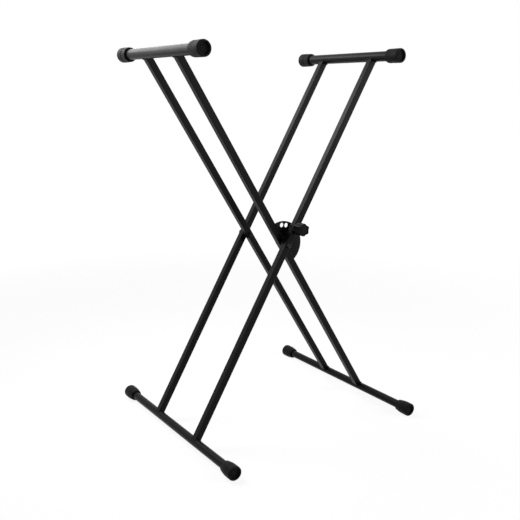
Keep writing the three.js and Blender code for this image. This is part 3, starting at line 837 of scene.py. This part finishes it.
plastic = knob_finish("moulded_black_plastic", 0.006, 0.011)
cap_plastic = knob_finish("plain_cap_plastic", 0.016, 0.024)
knob = turned(eased([
    (0, SOCKET_END, 0),
    (SOCKET_RADIUS, SOCKET_END, 0),
    (SOCKET_RADIUS, BORE_FLOOR, 0),
    (KNOB_BORE, BORE_FLOOR, 0),
    (KNOB_BORE, KNOB_BACK, 0.4),
    (KNOB_RADIUS, KNOB_BACK, KNOB_EASE),
    (KNOB_RADIUS, KNOB_FACE, KNOB_EASE),
    (KNOB_CAP_RADIUS + 0.9, KNOB_FACE, 0.4),
    (KNOB_CAP_RADIUS + 0.15, KNOB_FACE - 0.9, 0.2),
    (KNOB_CAP_RADIUS + 0.15, KNOB_FACE - KNOB_CAP_RECESS, 0),
    (0, KNOB_FACE - KNOB_CAP_RECESS, 0),
]), 144, lobed)
piece("six_lobed_pull_knob", knob, pull_place, "pull_pin", "knob_plastic", plastic, ["pull_knob"])
knob_cap = turned(eased([
    (0, KNOB_FACE - 1.55, 0),
    (KNOB_CAP_RADIUS, KNOB_FACE - 1.55, 0),
    (KNOB_CAP_RADIUS, KNOB_FACE - 1.1, 0.3),
    (KNOB_CAP_RADIUS - 1.6, KNOB_FACE - 0.9, 0.4),
    (KNOB_CAP_RADIUS - 2.2, KNOB_FACE - 0.4, 0.4),
    (0, KNOB_FACE - 0.35, 0),
]))
piece("plain_knob_cap", knob_cap, pull_place, "pull_pin", "knob_plastic", cap_plastic,
      ["knob_face_cap"])

# ---------------------------------------------------------------- pivot bolts
# At each crossing an M6 bolt passes through both legs, with its head outside and a lock nut
# inside. A nylon spacer keeps the legs apart, and steel sleeves keep them from being crushed.

# Lengths along a bolt are counted outwards from the middle plane of the stand.
BOLT_RADIUS = 3
BOLT_END = 50.7
HALF_FLATS = 5
HEX_CORNER = HALF_FLATS / math.cos(math.pi / 6) + 0.02
HEX_CHAMFER = 0.8
HEAD_FROM = 97.1
HEAD_TOP = 101.1
NUT_TO = 57.2
NUT_FROM = 51.7
NUT_COLLAR = 1.8
BORE = 3.3
WASHER_RADIUS = 6
SPACER_RADIUS = 7
SLEEVE_RADIUS = 5.5
# From where to where each of these lies. There is a sleeve in each frame's leg.
HEAD_WASHER = (95.6, 96.8)
NUT_WASHER = (57.5, 58.7)
SPACER = (74.3, 80.0)
SLEEVES = {"inner": (60.5, 72.5), "outer": (81.8, 93.8)}


def hexagonal(radius, along, angle):
    """Cuts a round shape to a hexagon. Where the round is smaller, it stays, as on a chamfer."""
    turn = (angle + math.pi / 6) % (math.pi / 3) - math.pi / 6
    return min(radius, HALF_FLATS / math.cos(turn))


def hex_chamfer(start, end):
    """The turned outline of a hexagon's chamfer, from its corners in to a circle on its end."""
    inner = 0.96 * HALF_FLATS
    return [(HEX_CORNER + (inner - HEX_CORNER) * i / 6, start + (end - start) * i / 6) for i in range(7)]


def bolt_shape():
    """A bolt with a dished hex head. Its thread shows past the nut."""
    step = 0.4
    dish = 0.12
    thread = [(BOLT_RADIUS - (0.4 if i % 2 else 0.05), BOLT_END + step * (i + 1)) for i in range(20)]
    outline = [(0, BOLT_END), (BOLT_RADIUS - 0.6, BOLT_END)] + thread
    outline += [(BOLT_RADIUS, NUT_TO + 2), (BOLT_RADIUS, HEAD_FROM), (HEX_CORNER, HEAD_FROM)]
    outline += hex_chamfer(HEAD_TOP - HEX_CHAMFER, HEAD_TOP)
    outline += [(3.9, HEAD_TOP), (3.6, HEAD_TOP - dish), (0, HEAD_TOP - dish)]
    return turned(outline, 72, hexagonal)


def lock_nut_shape():
    """A nut with a round collar, which is rolled in over its nylon ring."""
    shoulder = NUT_FROM + NUT_COLLAR
    collar = HALF_FLATS - 0.4
    outline = [(BORE, NUT_TO)]
    outline += reversed(hex_chamfer(NUT_TO - HEX_CHAMFER, NUT_TO))
    outline += hex_chamfer(shoulder + HEX_CHAMFER, shoulder)
    outline += [
        (collar, shoulder),
        (collar, NUT_FROM + 0.7),
        (collar - 0.25, NUT_FROM + 0.2),
        (collar - 0.8, NUT_FROM),
        (collar - 1.1, NUT_FROM + 0.2),
        (BORE, NUT_FROM + 0.3),
    ]
    return turned(outline, 72, hexagonal)


def nylon_finish():
    material, nodes = new_finish("black_nylon")
    place = nodes.node("ShaderNodeTexCoord", {}, {}, "Object")
    grain = nodes.node("ShaderNodeTexNoise", {}, {"Vector": place, "Scale": 900, "Detail": 3.0})
    bump = nodes.node("ShaderNodeBump", {}, {"Strength": 0.25, "Distance": 0.00006, "Height": grain})
    shade = nodes.node("ShaderNodeMix", {"data_type": "RGBA"}, {
        0: grain, 6: (0.014, 0.014, 0.014, 1), 7: (0.024, 0.024, 0.024, 1)}, 2)
    waxy = nodes.node("ShaderNodeBsdfPrincipled", {}, {
        "Base Color": shade, "Roughness": 0.45 + 0.15 * grain, "Normal": bump, "Specular IOR Level": 0.2})
    nodes.node("ShaderNodeOutputMaterial", {}, {"Surface": waxy})
    return material


nylon = nylon_finish()
for end, way in ENDS.items():
    turned_round = way < 0
    at_pivot = in_frame("inner", turned_round=turned_round)
    rest = ("inner_frame", "black_steel", black_oxide)
    piece(f"hex_pivot_bolt_{end}", bolt_shape(), at_pivot, *rest, [f"pivot_bolt_{end}"])
    piece(f"lock_nut_{end}", lock_nut_shape(), at_pivot, *rest, [f"pivot_lock_nut_{end}"])
    head_washer = ring(WASHER_RADIUS, BORE, *HEAD_WASHER, 0.3)
    piece(f"washer_under_head_{end}", head_washer, at_pivot, *rest, [f"pivot_head_washer_{end}"])
    nut_washer = ring(WASHER_RADIUS, BORE, *NUT_WASHER, 0.3)
    piece(f"washer_under_nut_{end}", nut_washer, at_pivot, *rest, [f"pivot_nut_washer_{end}"])
    spacer = ring(SPACER_RADIUS, BORE, *SPACER, 0.5)
    piece(f"nylon_leg_spacer_{end}", spacer, at_pivot, "inner_frame", "nylon", nylon,
          [f"pivot_spacer_{end}"])
    for label, reach in SLEEVES.items():
        sleeve = ring(SLEEVE_RADIUS, BORE, *reach, 0.2)
        piece(f"steel_sleeve_{label}_{end}", sleeve, in_frame(label, turned_round=turned_round),
              f"{label}_frame", "steel", zinc, [f"{label}_leg_sleeve_{end}"])
